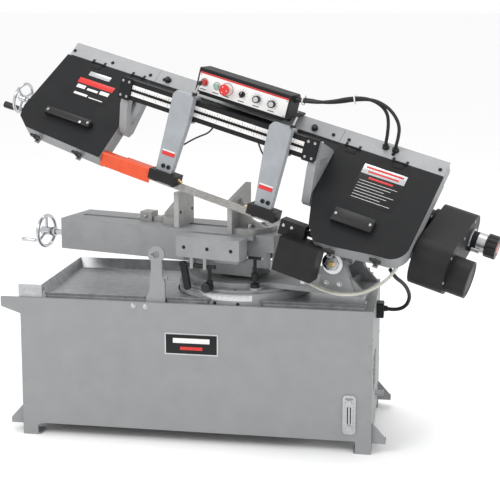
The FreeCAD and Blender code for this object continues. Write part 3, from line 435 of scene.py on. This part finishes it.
# ---- covers, housings ----------------------------------------------------------------
def flat_marks(name, body, look, blocks):
    """Thin printed shapes on a cover: left, right, low, high and height above the sheet."""
    marks = Piece(WHEEL)
    for a, b, lo, hi, rise in blocks:
        marks.block(a, b, lo, hi, SHEET_N, SHEET_N + 0.3 + rise, 0.15)
    marks.done(name, body, look=look)


flat_marks("left_silver_plate", "left_cover", "silver", [(-1180, -1085, 262, 282, 0.5)])
flat_marks("name_plate_field", "left_cover", "black", [(-1206, -1043, 158, 245, 0.7)])
flat_marks("name_plate_red", "left_cover", "red", [(-1204, -1045, 219, 243, 1.1)])
flat_marks("name_plate_white", "left_cover", "white",
           [(-1196, -1158, 196, 212, 1.1), (-1148, -1100, 196, 206, 1.1), (-1092, -1052, 196, 212, 1.1),
            (-1190, -1130, 166, 176, 1.1), (-1122, -1060, 166, 170, 1.1)])
flat_marks("right_label_field", "right_cover", "black", [(-23, 142, 122, 280, 0.7)])
flat_marks("right_label_title", "right_cover", "silver", [(-21, 140, 239, 278, 1.0)])
flat_marks("right_label_red", "right_cover", "red",
           [(-10, 129, 263, 271, 1.4), (2, 117, 247, 254, 1.4), (14, 105, 222, 230, 1.1)])
flat_marks("right_label_lines", "right_cover", "white",
           [(-14, 128 - 20 * (i % 3), 209 - 12 * i, 210.6 - 12 * i, 1.1) for i in range(7)])

for name, body, a, b, lo, hi in (("left", "left_cover", -1241, -1038, 38, 69),
                                 ("right", "right_cover", -38, 113, 16, 70)):
    grip = Piece(WHEEL)
    grip.block(a + 1, b - 1, lo + 1, hi - 1, 218, 223.2, 2.4)
    grip.done(name + "_handle_pad", body, "plastic")
    dots = Piece(WHEEL)
    for s in (a + 12, b - 12):
        socket_screw(dots, (s, (lo + hi) / 2, 223), UP, 5, 1.2)
    dots.done(name + "_handle_screws", body, "steel")
dot = Piece(WHEEL)
round_screw(dot, (-1080, 46, 223), UP, 5, 1.5)
dot.done("handle_white_dot", "left_cover", "white")

for name, body, spans in (("left", "left_cover", (-1170, -990)), ("right", "right_cover", (-90, 90))):
    leaves = Piece(WHEEL)
    for s in spans:
        leaves.block(s - 19, s + 19, 300, 323, 202.3, 204.2, 0.4)
        for d in (-12, 12):
            round_screw(leaves, (s + d, 310, 204.2), UP, 3.5, 1.6)
    leaves.done(name + "_cover_hinge", body, "black")
    pins = Piece(WHEEL)
    for s in spans:
        for a, b in ((s - 30, s - 20.4), (s + 20.4, s + 30)):
            pins.turned((a, HINGE_P, HINGE_N), (1, 0, 0), [(0, 0), (0, 3), (b - a, 3), (b - a, 0)], 20)
            pins.block(a, b, HINGE_P, 338, PLATE_N, 204.8, 0.3)
    pins.done(name + "_hinge_knuckles", "head", "black")

screws = Piece(WHEEL)
for s in (-1295, -1119, -947, -885, -560, -176, -115, 55, 230):
    socket_screw(screws, (s, 348, PLATE_N), UP, 6.5, 3.2)
screws.done("top_plate_screws", "head", "black")
knobs = Piece(WHEEL)
for s in (-869, -251):
    knobs.turned((s, 350, PLATE_N), UP,
                 [(-0.5, 0), (-0.5, 14), (2, 14), (2, 11), (13, 11), (15, 9), (15, 0)], 6)
knobs.done("top_plate_knobs", "head", "plastic")
screws = Piece(WHEEL)
for s in (-880, -700, -380, -200):
    socket_screw(screws, (s, 305, 198), UP, 4.5, 1.6)
screws.done("guard_channel_screws", "head", "steel")

for name, body, s, lo in (("idler", "idler_wheel", IDLER_S, 188), ("drive", "drive_wheel", DRIVE_S, 188)):
    hub = Piece(WHEEL)
    hub.turned((s, WHEEL_P, lo), UP, [(-0.5, 0), (-0.5, 24), (2, 24), (2.5, 22), (2.5, 0)], 40)
    for i in range(4):
        a = math.pi * i / 2 + 0.4
        socket_screw(hub, (s + 28 * math.cos(a), WHEEL_P + 28 * math.sin(a), lo), UP, 3.5, 2.2)
    hub.done(name + "_hub_cap", body, "steel")

# ---- guides --------------------------------------------------------------------------
strips = Piece(HEAD)
strips.block(-890, -197, -135.7, -134.6, 370, 385, 0.1)
strips.block(-890, -197, -135.7, -134.6, 345, 360, 0.1)
strips.done("guide_scale_strips", "head", "white")
ticks = Piece(HEAD)
for i in range(69):
    s = -886 + 10 * i
    long = i % 5 == 0
    ticks.block(s - 0.5, s + 0.5, -136.0, -135.5, 370.5, 381 if long else 376, 0)
    ticks.block(s - 0.5, s + 0.5, -136.0, -135.5, 349 if long else 354, 359.5, 0)
ticks.done("guide_scale_marks", "head", "black")
ends = Piece(HEAD)
for s in (-930, -905, -183, -158):
    for z in (338, 392):
        socket_screw(ends, (s, -139, z), FRONT, 5, 2.6)
ends.done("guide_bar_screws", "head", "steel")

for name, body, s, lean in (("left", "left_guide", -681, 6), ("right", "right_guide", -279, -4)):
    screws = Piece(HEAD)
    for d in (-10.5, 10.5):
        socket_screw(screws, (s + 7.5 + d, -167, 146), FRONT, 8, 3.4)
    screws.done(name + "_arm_screws", body, "black")
    band = Piece(HEAD)
    band.block(s - 26 + lean, s + 26 + lean, -167.7, -166.6, 186, 200, 0.2)
    band.done(name + "_arm_band_red", body, "red")
    band = Piece(HEAD)
    band.block(s - 26 + lean, s + 26 + lean, -167.7, -166.6, 201, 206, 0.2)
    band.done(name + "_arm_band_white", body, "white")
    rollers = Piece(HEAD)
    mid = -672.5 if name == "left" else -271.5
    for d in (-36, 36):
        for y in (-154.7, -136.1):
            rollers.turned((mid + d, y, 80.4), DOWN,
                           [(0, 0), (0, 7), (1.2, 6.2), (1.2, 3), (0.4, 0)], 24)
    rollers.done(name + "_roller_ends", body, "chrome")
    nozzle = Piece(HEAD)
    step = 1 if name == "left" else -1
    nozzle.turned((mid + step * 54, -158, 112), (step, 0, -0.35),
                  [(0, 0), (0, 5), (6, 5), (6, 3.4), (20, 3), (20, 0)], 20)
    nozzle.done(name + "_coolant_nozzle", body, "brass")

for name, s, lean in (("left", -634, 11), ("right", -247, 9)):
    knob = Piece(HEAD)
    axis = Vector((lean, 0, 40)).normalized()
    tip = Vector((s, -150, 430)) + axis * 34
    knob.turned(tip, axis, [(0, 4.1), (2, 6.5), (9, 7.6), (15, 6), (17.5, 3), (18, 0)], 24)
    knob.turned((s, -150, 423.4), UP, [(0, 7.05), (0, 10), (8, 10), (9, 9), (9, 4.2)], 6)
    knob.done(name + "_clamp_grip", name + "_clamp", "plastic")

screws = Piece(HEAD)
for s in (-184, -152):
    socket_screw(screws, (s, -172, 92), FRONT, 5.5, 2.4)
screws.done("chip_guard_screws", "head", "chrome")

teeth = Piece(HEAD)
TOOTH = ((0, 0.3), (5.4, 0.3), (1.2, -2.4))
blade_y, blade_low = -145.44, 72.7
tooth = bmesh.new()
for i in range(81):
    s = -712 + 6 * i
    corners = []
    for y in (blade_y - 0.45, blade_y + 0.45):
        corners.append([tooth.verts.new((s + a, y, blade_low + b)) for a, b in TOOTH])
    tooth.faces.new(corners[0])
    tooth.faces.new(corners[1][::-1])
    for k in range(3):
        tooth.faces.new((corners[0][k], corners[1][k], corners[1][(k + 1) % 3], corners[0][(k + 1) % 3]))
bmesh.ops.recalc_face_normals(tooth, faces=tooth.faces)
teeth.take(tooth)
teeth.done("blade_teeth", "head", "blade")

# ---- control box ---------------------------------------------------------------------
face = Piece(HEAD)
face.block(-649, -299, -110.7, -109.5, 438, 506, 0.2)
face.done("control_face", "head", "white")
marks = Piece(HEAD)
for s, r in ((-625, 15), (-575, 14), (-533, 23)):
    marks.turned((s, -110.5, 471), FRONT, [(0, r - 1.6), (0.6, r - 1.6), (0.6, r), (0, r)], 36)
for s in (-473, -414, -355):
    for i in range(9):
        a = math.radians(-40 + 32.5 * i)
        c, d = math.cos(a), math.sin(a)
        marks.turned((s + 19 * c, -110.5, 471 + 19 * d), FRONT, [(0, 1.1), (0.6, 1.1), (0.6, 0)], 8)
for s in DIAL_S:
    marks.block(s - 12, s + 12, -111.2, -110.4, 444, 447, 0.1)
marks.done("control_marks", "head", "black")
stripe = Piece(HEAD)
stripe.block(-649, -299, -111.1, -110.4, 500, 506, 0.1)
stripe.done("control_stripe", "head", "red")
corner = Piece(HEAD)
for s in (-644, -304):
    for z in (442, 496):
        round_screw(corner, (s, -110.6, z), FRONT, 3, 1.6)
for s in (-620, -475, -330):
    for y in (-60, 90):
        if y > 0:
            round_screw(corner, (s, y, 432.2), UP, 4, 2)
corner.done("control_box_screws", "head", "steel")
caps = Piece(HEAD)
caps.turned((-414, -126, 471), FRONT, [(-0.5, 0), (-0.5, 9.5), (1.2, 9.5), (1.2, 0)], 32)
caps.done("coolant_knob_cap", "coolant_knob", "silver")
caps = Piece(HEAD)
caps.turned((-355, -124, 471), FRONT, [(-0.5, 0), (-0.5, 9.5), (1.2, 9.5), (1.2, 0)], 32)
caps.done("speed_dial_cap", "speed_dial", "silver")
caps = Piece(HEAD)
caps.block(-474, -472, -125.6, -124.6, 474, 481, 0.2)
caps.done("mode_pointer", "mode_selector", "white")
caps = Piece(HEAD)
for i in range(3):
    a = 2 * math.pi * i / 3
    caps.turned((STOP_S + 11 * math.cos(a), -142, DIAL_Z + 11 * math.sin(a)), FRONT,
                [(-0.4, 0), (-0.4, 2.2), (0.5, 1.8), (0.5, 0)], 12)
caps.done("stop_button_dots", "stop_button", "white")

# ---- drive ---------------------------------------------------------------------------
fins = Piece(HEAD)
for i in range(32):
    a = math.radians(11.25 * i)
    c, s = math.cos(a), math.sin(a)
    toward_foot = c * -0.729 + s * 0.6845 > 0.45
    at_box = s > 0.55 and c > -0.45
    if toward_foot or at_box:
        continue
    part = bmesh.new()
    bmesh.ops.create_cube(part, size=1)
    bmesh.ops.scale(part, vec=(226, 8.5, 2.2), verts=part.verts)
    bmesh.ops.translate(part, vec=(111, 61, 0), verts=part.verts)
    spin = Matrix.Translation((0, MOTOR_Y, MOTOR_Z)) @ Matrix.Rotation(a, 4, "X")
    bmesh.ops.transform(part, matrix=spin, verts=part.verts)
    fins.take(part)
fins.done("motor_fins", "head", "charcoal")
grille = Piece(HEAD)
for r in (14, 24, 34, 44, 54):
    grille.turned((-58, MOTOR_Y, MOTOR_Z), LEFT,
                   [(-0.5, r - 2), (1.6, r - 2), (1.6, r + 2), (-0.5, r + 2)], 48)
for i in range(6):
    a = math.pi * i / 3
    mid_y, mid_z = MOTOR_Y + 34 * math.cos(a), MOTOR_Z + 34 * math.sin(a)
    part = bmesh.new()
    bmesh.ops.create_cube(part, size=1)
    bmesh.ops.scale(part, vec=(2.4, 44, 4), verts=part.verts)
    spin = Matrix.Translation((-58.6, mid_y, mid_z)) @ Matrix.Rotation(a, 4, "X")
    bmesh.ops.transform(part, matrix=spin, verts=part.verts)
    grille.take(part)
grille.done("motor_fan_grille", "head", "black")
bolts = Piece(HEAD)
for i in range(4):
    a = math.pi / 4 + math.pi * i / 2
    at = (236, MOTOR_Y + 61 * math.cos(a), MOTOR_Z + 61 * math.sin(a))
    hex_bolt(bolts, at, LEFT, 8, 5, 1.05)
for s, y in ((64, MOTOR_Y - 16), (146, MOTOR_Y - 16), (64, MOTOR_Y + 48), (146, MOTOR_Y + 48)):
    round_screw(bolts, (s, y, MOTOR_Z + 84), UP, 3.5, 2)
bolts.done("motor_bolts", "head", "steel")
bolts = Piece(WHEEL)
for i in range(6):
    a = math.pi * i / 3 + 0.5
    hex_bolt(bolts, (54 + 55 * math.cos(a), 134 + 55 * math.sin(a), 126), (0, 0, -1), 9, 6, 1.1)
hex_bolt(bolts, (54, 158, 62), (0, 0, -1), 14, 7, 1.1)
bolts.done("gearbox_bolts", "head", "steel")

hub = Piece(HEAD)
hub.turned((438, MOTOR_Y, MOTOR_Z), RIGHT,
           [(-30, 34.1), (-30, 35.2), (0, 35.2), (1.6, 34), (1.6, 31), (-0.4, 31)], 56)
hub.turned((382.6, MOTOR_Y, MOTOR_Z), RIGHT, [(0, 34), (0, 42), (4, 42), (5, 41), (5, 34)], 56)
hub.done("speed_hub_sleeve", "head", "silver")
pin = Piece(HEAD)
pin.turned((397, 169, 141), RIGHT,
           [(-1, 7.05), (-1, 8.6), (22, 8.6), (28, 9.4), (29.4, 8), (29.4, 0)], 28)
pin.done("plunger_cap", "head", "silver")
cap = Piece(HEAD)
cap.turned((478, MOTOR_Y, MOTOR_Z), RIGHT, [(-1, 0), (-1, 19.5), (1.6, 19.5), (2.6, 18), (2.6, 0)], 40)
cap.done("speed_knob_cap", "speed_handwheel", "red_gloss")
screws = Piece(HEAD)
for y, z in ((262, 160), (170, 238), (60, 196), (-70, 150), (-88, 66), (140, 78), (80, 60)):
    socket_screw(screws, (383, y, z), RIGHT, 5.5, 2.4)
screws.done("belt_cover_screws", "head", "steel")
rim = Piece(HEAD)
rim.turned((451, -2, 81), RIGHT, [(-0.6, 50), (1.4, 50), (1.4, 56), (-0.6, 56)], 56)
rim.done("belt_cover_ring", "head", "black")

grip = Piece(WHEEL)
grip.turned((-1517, 89.6, 70.4), RIGHT,
            [(0, 0), (0, 10), (3, 13.3), (30, 13.2), (84, 10.4), (88, 8), (88, 6)], 32)
grip.done("tension_grip", "tension_handwheel", "plastic")
nut = Piece(WHEEL)
hex_bolt(nut, (-1438, 115.9, 119.8), (-1, 0, 0), 16, 8, 1.2)
nut.done("tension_wheel_nut", "tension_handwheel", "steel")

# ---- cables and hoses ----------------------------------------------------------------
CABLE_A = [(-293, -66, 500), (-262, -62, 505), (-215, -55, 514), (-165, -42, 532), (-115, -26, 558),
           (-65, -6, 571), (-22, 22, 562), (6, 46, 536), (16, 62, 500), (21, 72, 455), (19, 86, 424),
           (19, 102, 406.5)]
CABLE_B = [(-293, -48, 502), (-258, -46, 512), (-205, -40, 516), (-150, -28, 532), (-98, -12, 556),
           (-44, 4, 572), (4, 26, 560), (36, 46, 534), (58, 60, 500), (61, 72, 460), (57, 86, 424),
           (56, 102, 406.5)]
LEFT_LINE = [(-656, -100, 226), (-630, -100, 252), (-598, -101, 278), (-566, -104, 300),
             (-552, -112, 326)]
RIGHT_LINE = [(-330, -100, 262), (-341, -100, 282), (-360, -101, 300), (-371, -112, 326)]
HOSES = [(505, -118, 612), (556, -113, 588), (612, -110, 577), (668, -110, 579), (724, -110, 596),
         (776, -110, 630), (812, -108, 666), (828.4, -104.2, 702.5)]
HOSE_B = [(x, y - 13, z - 1) for x, y, z in HOSES[:-1]] + [(822.9, -118.2, 687.8)]
SUPPLY = [(668, 15, 455), (702, 16, 449), (742, 6, 466), (758, -20, 506), (752, -64, 548),
          (733, -118, 588), (708, -175, 618), (690, -196, 652)]


def flexible(name, points, matrix, diameter, look, node, body, onto=None):
    """A cord held at both ends, along one smooth curve; with onto given it is baked into world space and
    rides on no body.
    """
    world = [(matrix @ Vector(q)) * MM for q in points]
    curve = bpy.data.curves.new(name, "CURVE")
    curve.dimensions = "3D"
    curve.resolution_u = 10
    spline = curve.splines.new("NURBS")
    spline.points.add(len(world) - 1)
    for slot_point, q in zip(spline.points, world):
        slot_point.co = (q.x, q.y, q.z, 1)
    spline.order_u = 3
    spline.use_endpoint_u = True
    rope = bpy.data.objects.new(name + "_line", curve)
    bpy.context.scene.collection.objects.link(rope)
    bpy.context.view_layer.update()
    graph = bpy.context.evaluated_depsgraph_get()
    bare = bpy.data.meshes.new_from_object(rope.evaluated_get(graph))
    curve.bevel_depth = diameter / 2 * MM
    curve.bevel_resolution = 5
    curve.use_fill_caps = True
    bpy.context.view_layer.update()
    graph = bpy.context.evaluated_depsgraph_get()
    mesh = bpy.data.meshes.new_from_object(rope.evaluated_get(graph))
    bpy.data.objects.remove(rope)
    bpy.data.meshes.remove(bare)
    mesh.name = name
    mesh.materials.clear()
    mesh.materials.append(M[look])
    for face in mesh.polygons:
        face.use_smooth = True
    obj = bpy.data.objects.new(name, mesh)
    bpy.context.scene.collection.objects.link(obj)
    if onto:
        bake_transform(obj)
    else:
        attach(obj, body)
    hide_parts(node)
    return obj


flexible("control_cable_1", CABLE_A, HEAD, 12, "rubber", "head_lines", "head")
flexible("control_cable_2", CABLE_B, HEAD, 12, "rubber", "head_lines", "head")
flexible("left_coolant_line", LEFT_LINE, HEAD, 6, "rubber", "head_lines", "head")
flexible("right_coolant_line", RIGHT_LINE, HEAD, 6, "rubber", "head_lines",
         "head")
flexible("clear_hose_1", HOSES, UPPER, 11, "hose", "pvc_hoses", "swivel", "head")
flexible("clear_hose_2", HOSE_B, UPPER, 11, "hose", "pvc_hoses", "swivel", "head")
flexible("supply_cable", SUPPLY, BASE, 14, "rubber", "supply_conduit", "base")

ties = Piece(HEAD)
for at, axis in (((-266, -54.5, 507), (1, 0, 0.1)), ((-100, -19, 557), (1, 0.3, 0.45))):
    ties.turned(at, axis, [(-2.2, 16.4), (-2.2, 17.6), (2.2, 17.6), (2.2, 16.4), (-2.2, 16.4)], 32)
    ties.block(at[0] - 3, at[0] + 3, at[1] - 3, at[1] + 3, at[2] + 15, at[2] + 21, 0.6)
ties.done("cable_ties", "head", "white")
glands = Piece(WHEEL)
for s in (19, 56):
    glands.turned((s, 366.4, 203), UP, [(-0.5, 0), (-0.5, 13), (2, 13), (2, 0)], 28)
    glands.turned((s, 366.4, 204), UP, [(0, 12), (11, 12), (12.5, 10.5), (13, 6.2)], 6)
glands.done("cable_glands", "head", "plastic")
glands = Piece(HEAD)
for y, z in ((-66, 500), (-48, 502)):
    glands.turned((-294, y, z), RIGHT, [(0, 0), (0, 9), (2, 9), (2, 8.2), (10, 8.2), (11, 6.2)], 20)
glands.done("box_glands", "head", "plastic")
fittings = Piece(UPPER)
for d in (0, -13):
    fittings.turned((499, -118 + d, 614.8 - (1 if d else 0)), (0.9, 0.09, -0.42),
                    [(0, 0), (0, 8), (12, 8), (12, 7), (18, 7), (18, 5.6)], 6)
fittings.block(486, 503, -142, -106, 604, 628, 2)
fittings.done("hose_fittings", "swivel", "steel")
fittings = Piece(UPPER)
for at in ((829.2, -104.0, 705), (824.4, -117.9, 691)):
    fittings.turned(at, (-0.4, -0.1, -0.9), [(0, 0), (0, 8), (12, 8), (12, 7), (18, 7), (18, 5.6)], 6)
fittings.done("hose_head_fittings", "head", "steel")

# ---- stage ---------------------------------------------------------------------------
floor_mesh = bpy.data.meshes.new("floor")
FLOOR = 400
floor_mesh.from_pydata([(-FLOOR, -FLOOR, 0), (FLOOR, -FLOOR, 0), (FLOOR, FLOOR, 0), (-FLOOR, FLOOR, 0)],
                       [], [(0, 1, 2, 3)])
floor = bpy.data.objects.new("floor", floor_mesh)
bpy.context.scene.collection.objects.link(floor)
pale = bpy.data.materials.new("pale_floor")
pale.use_nodes = True
pale.node_tree.nodes["Principled BSDF"].inputs["Base Color"].default_value = (0.96, 0.96, 0.96, 1)
pale.node_tree.nodes["Principled BSDF"].inputs["Roughness"].default_value = 0.9
floor_mesh.materials.append(pale)

world = bpy.data.worlds.new("studio")
bpy.context.scene.world = world
world.use_nodes = True
world.node_tree.nodes["Background"].inputs["Color"].default_value = (1, 1, 1, 1)
world.node_tree.nodes["Background"].inputs["Strength"].default_value = 1.0
bpy.context.scene.view_settings.view_transform = "Standard"


def softbox(name, at, target, size, power):
    lamp = bpy.data.lights.new(name, "AREA")
    lamp.shape = "RECTANGLE"
    lamp.size, lamp.size_y = size
    lamp.energy = power
    obj = bpy.data.objects.new(name, lamp)
    bpy.context.scene.collection.objects.link(obj)
    obj.location = at
    obj.rotation_mode = "QUATERNION"
    obj.rotation_quaternion = (Vector(target) - Vector(at)).to_track_quat("-Z", "Y")


softbox("key", (-2.6, -3.2, 3.6), (0, 0, 0.8), (2.4, 1.6), 90)
softbox("fill", (3.2, -2.6, 2.2), (0.1, 0, 0.7), (1.8, 1.8), 30)
softbox("top", (0.2, 0.4, 4.2), (0, 0, 0.8), (3.0, 2.0), 60)

camera = bpy.data.objects.new("camera", bpy.data.cameras.new("camera"))
bpy.context.scene.collection.objects.link(camera)
bpy.context.scene.camera = camera
yaw, pitch = math.radians(9.2), math.radians(8.4)
look = Vector((-math.sin(yaw) * math.cos(pitch), math.cos(yaw) * math.cos(pitch), -math.sin(pitch)))
camera.location = (0.823, -4.069, 1.552)
camera.rotation_mode = "QUATERNION"
camera.rotation_quaternion = look.to_track_quat("-Z", "Y")
camera.data.lens = 81.3
camera.data.sensor_width = 36
camera.data.shift_y = -0.15
